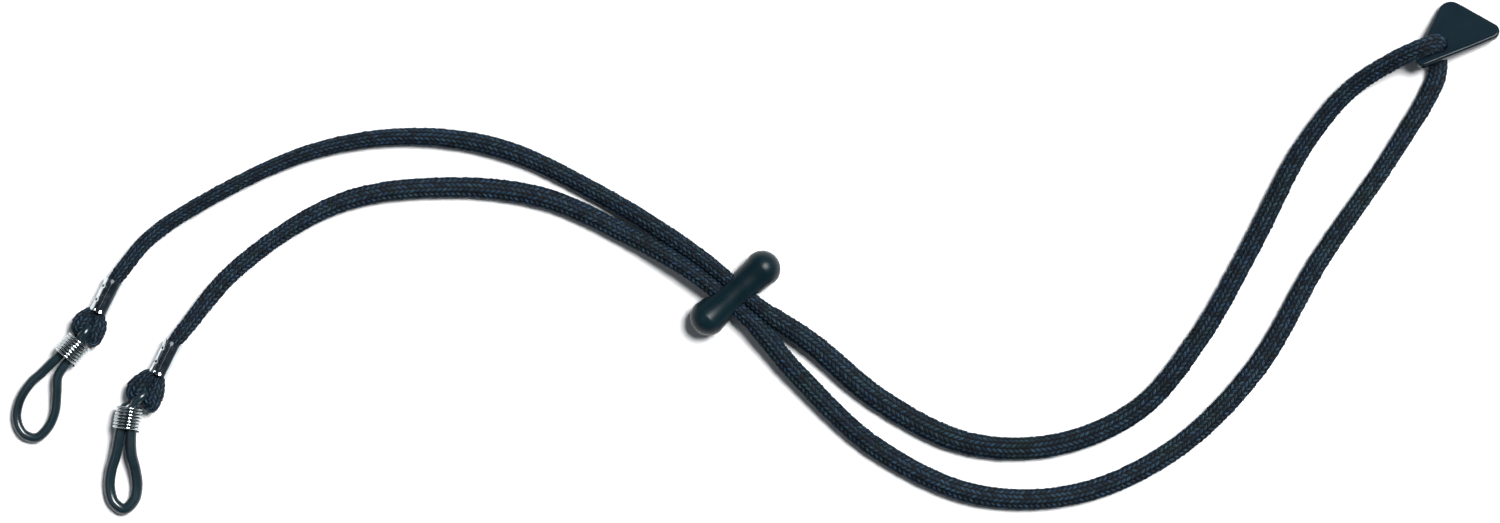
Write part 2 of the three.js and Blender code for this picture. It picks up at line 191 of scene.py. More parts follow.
# Studio: a pale floor's edge, darker walls and a dark ceiling
HORIZON_COLOUR = (0.80, 0.81, 0.82, 1.0)
WALL_COLOUR = (0.10, 0.13, 0.16, 1.0)
CEILING_COLOUR = (0.035, 0.055, 0.080, 1.0)
WALL_HEIGHT = 0.30                   # sine of the height above the horizon
STUDIO_STRENGTH = 0.5
FLOOR_HALF_WIDTH = 4.0
PAPER_DARK = (0.86, 0.86, 0.86)
PAPER_LIGHT = (0.88, 0.88, 0.88)

# ---------------------------------------------------------------- routes


def level(heading):
    return np.array([math.cos(heading), math.sin(heading), 0.0])


def left_of(direction):
    return np.array([-direction[1], direction[0], 0.0])


def run_point(side, along):
    """A point of the cord inside the bead: side is 1 for the upper run, -1 for the lower."""
    forward = level(RUN_HEADING)
    middle = BEAD_CENTRE + RUN_SHIFT * level(BEAD_HEADING)
    return tuple(middle + side * RUN_OFFSET * left_of(forward) + along * forward)


# The neck cord's centre line: from the left ferrule through the bead, round through the
# tab's hole, and back through the bead to the right ferrule
CORD_ROUTE = [
    (-0.1178, -0.0038, 0.00275),
    (-0.1114, 0.0039, 0.0019),
    (-0.0979, 0.0125, 0.00155),
    (-0.0815, 0.0198, 0.00155),
    (-0.0645, 0.0226, 0.00155),
    (-0.0470, 0.0205, 0.00155),
    (-0.0285, 0.0121, 0.0016),
    run_point(1, -RUN_BEFORE),
    run_point(1, RUN_AFTER),
    (0.0106, -0.0153, 0.0024),
    (0.0240, -0.0264, 0.00155),
    (0.0400, -0.0342, 0.00155),
    (0.0566, -0.0344, 0.00155),
    (0.0717, -0.0278, 0.00155),
    (0.0826, -0.0150, 0.00155),
    (0.0924, 0.0021, 0.00155),
    (0.1018, 0.0202, 0.0016),
    (0.1103, 0.0309, 0.0024),
    (0.1185, 0.0365, 0.0056),
    (0.1244, 0.0392, 0.0068),
    (0.1267, 0.03975, 0.0050),
    (0.1268, 0.0390, 0.0028),
    (0.1269, 0.0377, 0.00165),
    (0.1268, 0.0337, 0.00155),
    (0.1186, 0.0193, 0.00155),
    (0.1054, 0.0001, 0.00155),
    (0.0931, -0.0207, 0.00155),
    (0.0780, -0.0355, 0.00155),
    (0.0600, -0.0436, 0.00155),
    (0.0411, -0.0436, 0.00155),
    (0.0228, -0.0349, 0.00155),
    (0.0084, -0.0214, 0.0024),
    run_point(-1, RUN_AFTER),
    run_point(-1, -RUN_BEFORE),
    (-0.0237, 0.0047, 0.0019),
    (-0.0385, 0.0112, 0.00155),
    (-0.0560, 0.0132, 0.00155),
    (-0.0760, 0.0104, 0.00155),
    (-0.0951, -0.0016, 0.00155),
    (-0.1067, -0.0152, 0.00275),
]

# Half the cord's width at distances along it: (metres from the left ferrule, half-width)
CORD_WIDTHS = [
    (0.000, 0.00150),
    (0.010, 0.00152),
    (0.035, 0.00148),
    (0.055, 0.00162),
    (0.078, 0.00190),
    (0.095, 0.00175),
    (0.130, 0.00175),
    (0.157, 0.00225),
    (0.190, 0.00218),
    (0.220, 0.00210),
    (0.245, 0.00195),
    (0.262, 0.00192),
    (0.280, 0.00178),
    (0.300, 0.00180),
    (0.316, 0.00188),
    (0.335, 0.00174),
    (0.380, 0.00205),
    (0.430, 0.00200),
    (0.475, 0.00200),
    (0.510, 0.00175),
    (0.540, 0.00205),
    (0.574, 0.00190),
    (0.588, 0.00172),
    (0.607, 0.00172),
    (0.617, 0.00150),
]

# Each end's ferrule, eye and coil, and the rubber loop's centre line beyond the coil
ENDS = {
    "left": {
        "ferrule_end": (-0.1209, -0.0101),     # the end at the eye
        "ferrule_heading": math.radians(63.4),
        "ferrule_to_eye": 0.0031,
        "slim_side_bulk": 1.0,
        "coil_start": (-0.1242, -0.01505),
        "coil_heading": math.radians(227.3),
        "loop": [
            (-0.1284, -0.0217, 0.0025),
            (-0.1287, -0.0249, 0.0019),
            (-0.1291, -0.0284, 0.0013),
            (-0.1304, -0.0313, 0.0011),
            (-0.1326, -0.0332, 0.0011),
            (-0.1350, -0.0324, 0.0011),
            (-0.1362, -0.0297, 0.0011),
            (-0.1356, -0.0263, 0.0014),
            (-0.1336, -0.0231, 0.0020),
            (-0.1313, -0.0210, 0.0025),
        ],
    },
    "right": {
        "ferrule_end": (-0.1099, -0.0216),
        "ferrule_heading": math.radians(63.6),
        "ferrule_to_eye": 0.0039,
        "slim_side_bulk": 1.18,
        "coil_start": (-0.1151, -0.0273),
        "coil_heading": math.radians(260),
        "loop": [
            (-0.1149, -0.0360, 0.0023),
            (-0.1142, -0.0392, 0.0017),
            (-0.1139, -0.0422, 0.0012),
            (-0.1145, -0.0448, 0.0011),
            (-0.1163, -0.0464, 0.0011),
            (-0.1182, -0.0452, 0.0011),
            (-0.1190, -0.0424, 0.0012),
            (-0.1187, -0.0394, 0.0017),
            (-0.1177, -0.0360, 0.0023),
        ],
    },
}

# ---------------------------------------------------------------- camera


def make_camera():
    data = bpy.data.cameras.new("camera")
    data.sensor_width = SENSOR_WIDTH
    data.lens = SENSOR_WIDTH * (CAMERA_HEIGHT - FOCUS_HEIGHT) / VIEW_WIDTH
    data.clip_start = CAMERA_HEIGHT / CLIP_RATIO
    data.clip_end = CAMERA_HEIGHT * CLIP_RATIO
    camera = bpy.data.objects.new("camera", data)
    camera.location = (*VIEW_CENTRE, CAMERA_HEIGHT)
    bpy.context.scene.collection.objects.link(camera)
    bpy.context.scene.camera = camera


make_camera()

# ---------------------------------------------------------------- lines and meshes

SPLINE_STEPS = 24
ALMOST_UP = UP + 0.01                # leans, so that an upright line has a side too


def spline(points, closed=False):
    """A dense centripetal Catmull-Rom curve through the points."""
    p = np.array(points, float)
    if closed:
        p = np.vstack([p[-1], p, p[0], p[1]])
    else:
        p = np.vstack([2 * p[0] - p[1], p, 2 * p[-1] - p[-2]])
    knot = np.sqrt(np.linalg.norm(np.diff(p, axis=0), axis=1))
    t = np.linspace(0, 1, SPLINE_STEPS, endpoint=False)[:, None]
    parts = []
    for i in range(1, len(p) - 2):
        a, b, c = knot[i - 1:i + 2]
        before, here, after, beyond = p[i - 1:i + 3]
        chord = (after - here) / b
        leave = b * ((here - before) / a - (after - before) / (a + b) + chord)
        arrive = b * (chord - (beyond - here) / (b + c) + (beyond - after) / c)
        parts.append(
            (2 * t**3 - 3 * t**2 + 1) * here
            + (t**3 - 2 * t**2 + t) * leave
            + (3 * t**2 - 2 * t**3) * after
            + (t**3 - t**2) * arrive
        )
    parts.append(p[-2:-1])
    return np.vstack(parts)


def unit(vectors):
    return vectors / np.linalg.norm(vectors, axis=-1, keepdims=True)


class Line:
    """A centre line that gives its place, its side direction and its upward one at any
    distance along it. The side stays level, save where the line is too steep for that."""

    def __init__(self, points, level_over=0.0):
        self.points = np.array(points, float)
        steps = np.linalg.norm(np.diff(self.points, axis=0), axis=1)
        self.distance = np.concatenate([[0.0], np.cumsum(steps)])
        self.length = self.distance[-1]
        self.level_over = level_over
        self.forward = self.headings()
        self.side = self.sides()
        self.up = np.cross(self.side, self.forward)

    def headings(self):
        return unit(np.gradient(self.points, self.distance, axis=0))

    def sides(self):
        side = np.cross(self.forward, UP)
        if self.level_over:
            apart = np.abs(self.distance[:, None] - self.distance[None, :])
            weight = np.exp(-((apart / self.level_over) ** 2))
            side = weight @ side
        side -= self.forward * np.sum(side * self.forward, axis=1, keepdims=True)
        return unit(side)

    def read(self, values, distance):
        columns = [np.interp(distance, self.distance, values[:, k]) for k in range(3)]
        return np.stack(columns, axis=-1)

    def place(self, distance, sideways, upwards):
        """Points beside the line, for arrays of one shape."""
        return (
            self.read(self.points, distance)
            + self.read(self.side, distance) * sideways[..., None]
            + self.read(self.up, distance) * upwards[..., None]
        )


class RingLine(Line):
    """A closed line, whose side direction is carried along without turning about it."""

    def headings(self):
        ring = self.points[:-1]
        forward = unit(np.roll(ring, -1, axis=0) - np.roll(ring, 1, axis=0))
        return np.vstack([forward, forward[:1]])

    def sides(self):
        side = np.zeros_like(self.forward)
        side[0] = unit(np.cross(self.forward[0], ALMOST_UP))
        for i in range(1, len(side)):
            forward = self.forward[i]
            side[i] = unit(side[i - 1] - forward * np.dot(side[i - 1], forward))
        up = np.cross(side, self.forward)
        closing = math.atan2(np.dot(side[-1], up[0]), np.dot(side[-1], side[0]))
        turn = -closing * self.distance / self.length
        return side * np.cos(turn)[:, None] + up * np.sin(turn)[:, None]


def mesh_piece(name, points, faces, uv=None):
    """An object of quads and triangles, facing outwards, with an optional UV per corner."""
    mesh = bpy.data.meshes.new(name)
    mesh.from_pydata(points.tolist(), [], faces)
    if uv is not None:
        layer = mesh.uv_layers.new(name="lay")
        layer.data.foreach_set("uv", np.array(uv, np.float32).ravel())
    mesh.update()
    mesh.shade_smooth()
    piece = bpy.data.objects.new(name, mesh)
    bpy.context.scene.collection.objects.link(piece)
    return piece


def grid_piece(name, grid, u, v, ring=False):
    """A tube from rows of points. u is each side's coordinate, with one more than the row
    has points, and v each point's own. A ring's last row joins its first, and anything
    else is closed with a fan at both ends."""
    rows, sides = grid.shape[:2]
    points = grid.reshape(-1, 3)
    faces = []
    uv = []
    v_last = 2 * v[-1] - v[-2]
    for row in range(rows if ring else rows - 1):
        below = row * sides
        above = ((row + 1) % rows) * sides
        v_above = v[row + 1] if row + 1 < rows else v_last
        for side in range(sides):
            other = (side + 1) % sides
            faces.append((below + side, below + other, above + other, above + side))
            uv.append((u[side], v[row][side]))
            uv.append((u[side + 1], v[row][other]))
            uv.append((u[side + 1], v_above[other]))
            uv.append((u[side], v_above[side]))
    if not ring:
        for row, order in ((0, (1, 0)), (rows - 1, (0, 1))):
            points = np.vstack([points, grid[row].mean(axis=0)])
            hub = len(points) - 1
            for side in range(sides):
                pair = (row * sides + side, row * sides + (side + 1) % sides)
                faces.append((pair[order[0]], pair[order[1]], hub))
                uv.extend([(u[side], v[row][side])] * 3)
    return mesh_piece(name, points, faces, uv)


BRAID_SPARE_STITCHES = 4             # random heights for stitches past the line's ends


def braided(name, line, half_width, half_height, seed, fineness=1):
    """A braided cord along a line. Its rows zigzag with the yarns, so that each stitch is
    crossed by the same number of rows and shows its own crown and edges."""
    sides_each = BRAID_SIDES_PER_COLUMN * fineness
    rows_each = BRAID_ROWS_PER_STITCH * fineness
    sides = BRAID_COLUMNS * sides_each
    spot = np.arange(sides)
    column = spot // sides_each
    share = (spot % sides_each) / sides_each
    odd = column % 2
    lean = np.where(odd, -1.0, 1.0) * BRAID_LEAN * (share - 0.5)
    rows = int(line.length / BRAID_PITCH * rows_each)
    row_place = np.arange(-rows_each, rows + rows_each)[:, None] / rows_each
    distance = np.clip((row_place - lean[None, :]) * BRAID_PITCH, 0, line.length)
    yarn = row_place + odd[None, :] * BRAID_STAGGER
    across = np.sin(math.pi * share) ** BRAID_ROUNDNESS_ACROSS
    along = np.abs(np.sin(math.pi * yarn)) ** BRAID_ROUNDNESS_ALONG
    crown = (BRAID_EDGE + (1 - BRAID_EDGE) * across[None, :]) * along
    random = np.random.default_rng(seed)
    stitches = int(line.length / BRAID_PITCH) + BRAID_SPARE_STITCHES
    uneven = random.normal(0, BRAID_ROUGHNESS, (stitches, BRAID_COLUMNS))
    lift = uneven[np.floor(yarn).astype(int) + 1, np.broadcast_to(column, yarn.shape)]
    inset = BRAID_DEPTH * (1 - crown) - lift * crown
    angle = TURN * spot[None, :] / sides
    sideways = np.cos(angle) * (half_width(distance) - inset)
    upwards = np.sin(angle) * (half_height(distance) - inset)
    grid = line.place(distance, sideways, upwards)
    u = np.arange(sides + 1) / sides_each
    return grid_piece(name, grid, u, distance / BRAID_PITCH)


def round_tube(name, line, distance, sides, radius, ring=False):
    """A smooth tube whose radius is given at each distance."""
    angle = TURN * np.arange(sides) / sides
    along = np.repeat(distance[:, None], sides, axis=1)
    grid = line.place(along, radius[:, None] * np.cos(angle), radius[:, None] * np.sin(angle))
    u = np.arange(sides + 1) / sides
    return grid_piece(name, grid, u, along / RUBBER_RADIUS, ring)


# ---------------------------------------------------------------- neck cord


def neck_line():
    points = spline(CORD_ROUTE)
    first = points[0] - unit(points[1] - points[0]) * CORD_TUCK
    last = points[-1] + unit(points[-1] - points[-2]) * CORD_TUCK
    return Line(np.vstack([first, points, last]), level_over=CORD_LEVELLING)


NECK = neck_line()


def room_beside():
    """Half the distance to the cord's other run, at each of the line's points."""
    points = NECK.points
    away = np.linalg.norm(points[:, None] - points[None, :], axis=2)
    along = np.abs(NECK.distance[:, None] - NECK.distance[None, :])
    away[along < CORD_RUN_APART] = np.inf
    return away.min(axis=1) / 2


NECK_ROOM = room_beside()


def narrowed_at_ends(size, distance):
    """The size, brought down to the tuck's where each end enters its ferrule."""
    to_end = np.minimum(distance, NECK.length - distance)
    share = np.clip(to_end / CORD_TAPER, 0, 1) ** CORD_TAPER_POWER
    return CORD_TUCK_RADIUS + (size - CORD_TUCK_RADIUS) * share


def cord_half_width(distance):
    width = np.interp(distance - CORD_TUCK, *zip(*CORD_WIDTHS))
    room = np.interp(distance, NECK.distance, NECK_ROOM) + BRAID_NESTING
    width = np.minimum(width, np.maximum(room, CORD_HALF_WIDTH_IN_BEAD))
    return narrowed_at_ends(width, distance)


def cord_half_height(distance):
    height = np.minimum(CORD_SECTION / cord_half_width(distance), CORD_HALF_HEIGHT_MOST)
    return narrowed_at_ends(height, distance)


neck_cord = braided("neck_cord_braid", NECK, cord_half_width, cord_half_height, CORD_SEED)
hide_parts("neck_cord")
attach(neck_cord, "cord")

# ---------------------------------------------------------------- cord eyes


def eye_frame(end):
    """The eye's centre, and its own x and y directions."""
    back = level(end["ferrule_heading"])
    mouth = np.array([*end["ferrule_end"], EYE_HEIGHT])
    centre = mouth - end["ferrule_to_eye"] * back + EYE_ASIDE * left_of(back)
    return centre, -back, left_of(-back)


def cord_eye(side):
    """Cord doubled back round the rubber ring, its two plies pressed into the ferrule."""
    end = ENDS[side]
    centre, x, y = eye_frame(end)
    mouth = -end["ferrule_to_eye"]

    def ply(sign, bulges, bulk):
        inside = EYE_ASIDE + sign * EYE_PLY_OFFSET
        shoulder, *shoulder_size = EYE_SHOULDER_SIZE
        rows = [
            (mouth - EYE_TUCK, inside, *EYE_PLY_SIZE),
            (mouth - EYE_SPREAD, inside, *EYE_PLY_SIZE),
            (mouth + EYE_SHOULDER, sign * shoulder * bulk, *shoulder_size),
        ]
        for ahead, aside, half_width, half_height in reversed(bulges):
            rows.append((ahead, aside * bulk, half_width * bulk, half_height))
        return rows

    full = ply(1, EYE_FULL_SIDE, 1.0)
    slim = ply(-1, EYE_SLIM_SIDE, end["slim_side_bulk"])
    route = spline(full + [EYE_FOLD] + slim[::-1])
    line = Line(centre + route[:, :1] * x + route[:, 1:2] * y)

    def half_width(distance):
        return np.interp(distance, line.distance, route[:, 2])

    def half_height(distance):
        return np.interp(distance, line.distance, route[:, 3])

    piece = braided(
        f"cord_eye_{side}_braid", line, half_width, half_height, EYE_SEED, EYE_FINENESS
    )
    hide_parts(f"cord_eye_{side}")
    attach(piece, "cord")
    return piece


# ---------------------------------------------------------------- ferrules

FERRULE_AROUND = 170                 # mesh points round the sheet's spiral
FERRULE_ALONG = 72
SHEET_ROUNDING = FERRULE_SHEET / 4   # of its edges
SHEET_SEGMENTS = 3
SHEET_SHARP = math.radians(60)       # edges that turn more than this are rounded


def ferrule(side):
    """A sheet rolled into an open spiral, with a flared lip at both ends and two dimples."""
    end = ENDS[side]
    forward = level(end["ferrule_heading"])
    start = np.array([*end["ferrule_end"], EYE_HEIGHT])
    turned = np.linspace(0, FERRULE_SWEEP, FERRULE_AROUND)[None, :]
    along = np.linspace(0, FERRULE_LENGTH, FERRULE_ALONG)[:, None]
    angle = FERRULE_START + turned
    radius = FERRULE_BORE_RADIUS + FERRULE_SHEET / 2 + FERRULE_RISE_PER_TURN * turned / TURN
    to_end = np.minimum(along, FERRULE_LENGTH - along)
    radius = radius + FERRULE_LIP * np.exp(-((to_end / FERRULE_LIP_LENGTH) ** 2))
    off = (angle - DIMPLE_ANGLE + math.pi) % TURN - math.pi
    for place in DIMPLE_PLACES:
        apart = np.hypot(off * DIMPLE_ARC_RADIUS, along - place) / DIMPLE_RADIUS
        radius = radius - DIMPLE_DEPTH * np.exp(-(apart**4))
        to_rim = (apart - DIMPLE_RIM_PLACE) / DIMPLE_RIM_WIDTH
        radius = radius + DIMPLE_RIM_HEIGHT * np.exp(-(to_rim**2))
    x = radius * np.cos(angle)
    y = radius * np.sin(angle)
    points = start + x[..., None] * left_of(forward) + y[..., None] * UP
    points = points + along[..., None] * forward
    faces = []
    for row in range(FERRULE_ALONG - 1):
        for spot in range(FERRULE_AROUND - 1):
            first = row * FERRULE_AROUND + spot
            above = first + FERRULE_AROUND
            faces.append((first, first + 1, above + 1, above))
    piece = mesh_piece(f"ferrule_{side}_sheet", points.reshape(-1, 3), faces)
    thick = piece.modifiers.new("thickness", "SOLIDIFY")
    thick.thickness = FERRULE_SHEET
    thick.offset = 0
    rounded = piece.modifiers.new("rounded edges", "BEVEL")
    rounded.width = SHEET_ROUNDING
    rounded.segments = SHEET_SEGMENTS
    rounded.limit_method = "ANGLE"
    rounded.angle_limit = SHEET_SHARP
    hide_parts(f"ferrule_{side}")
    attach(piece, "cord")
    return piece


# ---------------------------------------------------------------- rubber rings and coils

RUBBER_RINGS = 420
RUBBER_SIDES = 28


def rubber_route(end):
    """The ring's centre line: the clasp round the eye's fold, a leg, the loop, a leg."""
    eye, *_ = eye_frame(end)
    mouth = np.array([*end["coil_start"], EYE_HEIGHT])
    outward = unit(mouth - eye)
    fold = eye + EYE_FOLD[0] * outward
    clasp = []
    for degrees in CLASP_ANGLES:
        angle = math.radians(degrees)
        level_part = CLASP_RADIUS * math.cos(angle) * outward
        clasp.append(fold + level_part + CLASP_HEIGHT * math.sin(angle) * UP)
    axis = level(end["coil_heading"])

    def leg(sideways, along, lift):
        return mouth + along * axis + sideways * LEG_OFFSET * left_of(axis) + lift * UP

    def leg_through_coil(side):
        return [
            leg(side * LEG_SPREAD, LEG_ENTRY, side * LEG_LIFT),
            leg(side, LEG_STRAIGHT, 0),
            leg(side, COIL_LENGTH, 0),
        ]

    return clasp + leg_through_coil(-1) + end["loop"][::-1] + leg_through_coil(1)[::-1]


def smooth_step(value, low, high):
    share = np.clip((value - low) / (high - low), 0, 1)
    return share * share * (3 - 2 * share)


def rubber_ring(side):
    """A closed ring of round rubber, thinner where the eye and the coil squeeze it."""
    end = ENDS[side]
    eye, *_ = eye_frame(end)
    mouth = np.array([*end["coil_start"], EYE_HEIGHT])
    line = RingLine(spline(rubber_route(end), closed=True))
    distance = np.arange(RUBBER_RINGS) / RUBBER_RINGS * line.length
    from_eye = np.linalg.norm(line.read(line.points, distance) - eye, axis=1)
    pinched_to = np.linalg.norm(mouth - eye) + COIL_LENGTH + COIL_PITCH / 2
    swell = smooth_step(from_eye, pinched_to, pinched_to + RUBBER_SWELL)
    in_coil = smooth_step(from_eye, EYE_FOLD[0] + CLASP_RADIUS, np.linalg.norm(mouth - eye))
    radius = RUBBER_CLASP + (RUBBER_PINCHED - RUBBER_CLASP) * in_coil
    radius = radius + (RUBBER_RADIUS - RUBBER_PINCHED) * swell
    name = f"temple_loop_{side}_rubber"
    piece = round_tube(name, line, distance, RUBBER_SIDES, radius, ring=True)
    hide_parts(f"temple_loop_{side}")
    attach(piece, f"loop_{side}")
    return piece


COIL_STEPS_PER_TURN = 56
COIL_SIDES = 16


def coil(side):
    """A helical spring whose wire has rounded tips."""
    end = ENDS[side]
    axis = level(end["coil_heading"])
    start = np.array([*end["coil_start"], EYE_HEIGHT])
    turned = np.linspace(0, COIL_TURNS, COIL_TURNS * COIL_STEPS_PER_TURN + 1)
    angle = turned * TURN
    out = np.cos(angle)[:, None] * left_of(axis) + np.sin(angle)[:, None] * UP
    along = COIL_WIRE_RADIUS + turned * COIL_PITCH
    centre = start + COIL_RADIUS * out + along[:, None] * axis
    step = unit(np.gradient(centre, axis=0))
    over = np.cross(step, out)
    to_end = np.minimum(turned, COIL_TURNS - turned) * TURN * COIL_RADIUS
    nose = np.clip(to_end / COIL_WIRE_RADIUS, 0, 1)
    radius = COIL_WIRE_RADIUS * np.sqrt(1 - COIL_TIP_CUT * (1 - nose) ** 2)
    around = (TURN * np.arange(COIL_SIDES) / COIL_SIDES)[None, :, None]
    ring = np.cos(around) * out[:, None] + np.sin(around) * over[:, None]
    grid = centre[:, None] + radius[:, None, None] * ring
    u = np.arange(COIL_SIDES + 1) / COIL_SIDES
    v = np.repeat(turned[:, None], COIL_SIDES, axis=1)
    piece = grid_piece(f"coil_spring_{side}_wire", grid, u, v)
    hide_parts(f"coil_spring_{side}")
    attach(piece, f"coil_{side}")
    return piece


# ---------------------------------------------------------------- bead and tab


def smooth_most(a, b, rounding):
    """The larger of two fields, with the edge where they meet rounded."""
    share = np.clip(0.5 + 0.5 * (a - b) / rounding, 0, 1)
    return b + (a - b) * share + rounding * share * (1 - share)


def slope(field, points, step=1e-6):
    """The field's gradient at the points, by steps of a thousandth of a millimetre."""
    parts = []
    for k in range(3):
        move = np.zeros(3)
        move[k] = step
        parts.append((field(points + move) - field(points - move)) / (2 * step))
    return np.stack(parts, axis=-1)


SKIN_MARGIN = 3                      # grid cells left free round a piece
SKIN_RELAXES = 6
SKIN_STEPS = 3                       # back to the surface, after each of those
SKIN_LEAST_SLOPE = 0.05              # least squared slope of the field that a step goes by
CELL_CORNERS = 8
QUAD_CORNERS = 4


def skin(name, field, low, high, cell, origin, axes):
    """A closed piece on the surface where the field is zero. Each grid cell that the
    surface crosses gets one point, and the points are evened out and put back on it."""
    ticks = [np.arange(a, b + cell, cell) for a, b in zip(low, high)]
    grid = np.stack(np.meshgrid(*ticks, indexing="ij"), axis=-1)
    inside = (field(grid.reshape(-1, 3)) < 0).reshape(grid.shape[:3])
    count = np.zeros(np.array(inside.shape) - 1, int)
    for i in (0, 1):
        for j in (0, 1):
            for k in (0, 1):
                count += inside[i:, j:, k:][:count.shape[0], :count.shape[1], :count.shape[2]]
    crossed = (count > 0) & (count < CELL_CORNERS)
    number = np.full(count.shape, -1)
    number[crossed] = np.arange(crossed.sum())
    points = grid[:-1, :-1, :-1][crossed] + cell / 2
    quads = []
    for axis in range(3):
        one, two = [k for k in range(3) if k != axis]
        first = np.take(inside, range(inside.shape[axis] - 1), axis=axis)
        second = np.take(inside, range(1, inside.shape[axis]), axis=axis)
        edges = np.argwhere(first != second)
        here = edges.copy()
        back_one = edges.copy()
        back_one[:, one] -= 1
        back_two = edges.copy()
        back_two[:, two] -= 1
        back_both = back_one.copy()
        back_both[:, two] -= 1
        ring = [number[tuple(c.T)] for c in (here, back_one, back_both, back_two)]
        ring = np.stack(ring, axis=1)
        outward = first[tuple(edges.T)]
        if axis == 1:
            outward = ~outward
        quads.append(np.where(outward[:, None], ring, ring[:, ::-1]))
    quads = np.vstack(quads)
    quad_edges = [quads[:, [k, (k + 1) % QUAD_CORNERS]] for k in range(QUAD_CORNERS)]
    pairs = np.vstack(quad_edges)
    for _ in range(SKIN_RELAXES):
        total = np.zeros_like(points)
        near = np.zeros(len(points))
        np.add.at(total, pairs[:, 0], points[pairs[:, 1]])
        np.add.at(near, pairs[:, 0], 1)
        points = 0.5 * points + 0.5 * total / near[:, None]
        for _ in range(SKIN_STEPS):
            steepness = slope(field, points)
            size = np.sum(steepness**2, axis=1, keepdims=True)
            size = np.maximum(size, SKIN_LEAST_SLOPE)
            points = points - steepness * field(points)[:, None] / size
    placed = origin + points @ np.array(axes)
    return mesh_piece(name, placed, quads.tolist())


def bead_field(p):
    """In the bead's own frame: x along it, y to its left, z up."""
    beyond = np.abs(p[:, 0]) - BEAD_CAP_OFFSET
    share = np.clip(p[:, 0] / BEAD_CAP_OFFSET, -1, 1)
    dip = (BEAD_CAP_RADIUS - BEAD_WAIST_RADIUS) * (1 - share**4)
    reach = np.hypot(np.hypot(p[:, 1], p[:, 2]), np.maximum(beyond, 0))
    body = reach - (BEAD_CAP_RADIUS - dip)
    turn = RUN_HEADING - BEAD_HEADING
    sideways = (RUN_SHIFT - p[:, 0]) * math.sin(turn) + p[:, 1] * math.cos(turn)
    slot = np.hypot(np.maximum(np.abs(sideways) - RUN_OFFSET, 0), p[:, 2]) - BEAD_SLOT_RADIUS
    return smooth_most(body, -slot, BEAD_SLOT_EDGE)


BEAD_CELL = 0.00015


def slider_bead():
    margin = SKIN_MARGIN * BEAD_CELL
    reach = BEAD_CAP_OFFSET + BEAD_CAP_RADIUS + margin
    wide = BEAD_CAP_RADIUS + margin
    axis = level(BEAD_HEADING)
    axes = (axis, left_of(axis), UP)
    low = (-reach, -wide, -wide)
    high = (reach, wide, wide)
    piece = skin("slider_bead_body", bead_field, low, high, BEAD_CELL, BEAD_CENTRE, axes)
    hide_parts("slider_bead")
    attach(piece, "slider")
    return piece


TAB_DIRECTIONS = 240


def tab_field(p):
    """In the tab's own frame, round its hole."""
    angle = TURN * np.arange(TAB_DIRECTIONS) / TAB_DIRECTIONS
    ways = np.stack([np.cos(angle), np.sin(angle)], axis=0)
    reach = np.max([np.array(d[:2]) @ ways + d[2] for d in TAB_DISCS], axis=0)
    outline = np.full(len(p), -np.inf)
    for k in range(TAB_DIRECTIONS):
        outline = np.maximum(outline, p[:, :2] @ ways[:, k] - reach[k])
    side = outline + TAB_EDGE
    face = np.abs(p[:, 2]) - TAB_THICKNESS / 2 + TAB_EDGE
    plate = np.minimum(np.maximum(side, face), 0)
    plate += np.hypot(np.maximum(side, 0), np.maximum(face, 0)) - TAB_EDGE
    hole = np.hypot(p[:, 0], p[:, 1]) - TAB_HOLE_RADIUS
    return smooth_most(plate, -hole, TAB_HOLE_EDGE)


TAB_CELL = 0.00014


def pull_tab():
    margin = SKIN_MARGIN * TAB_CELL
    low = [min(d[k] - d[2] for d in TAB_DISCS) - margin for k in range(2)]
    high = [max(d[k] + d[2] for d in TAB_DISCS) + margin for k in range(2)]
    low.append(-TAB_THICKNESS / 2 - margin)
    high.append(TAB_THICKNESS / 2 + margin)
    tilt = (math.cos(TAB_TILT), math.sin(TAB_TILT))
    axes = ((1.0, 0.0, 0.0), (0.0, tilt[0], tilt[1]), (0.0, -tilt[1], tilt[0]))
    piece = skin("pull_tab_plate", tab_field, low, high, TAB_CELL, TAB_HOLE_CENTRE, axes)
    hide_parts("pull_tab")
    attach(piece, "tab")
    return piece


# ---------------------------------------------------------------- materials

# Sockets of Blender's Mix node that take and give colours
MIX_COLOUR_A = 6
MIX_COLOUR_B = 7
MIX_COLOUR_RESULT = 2


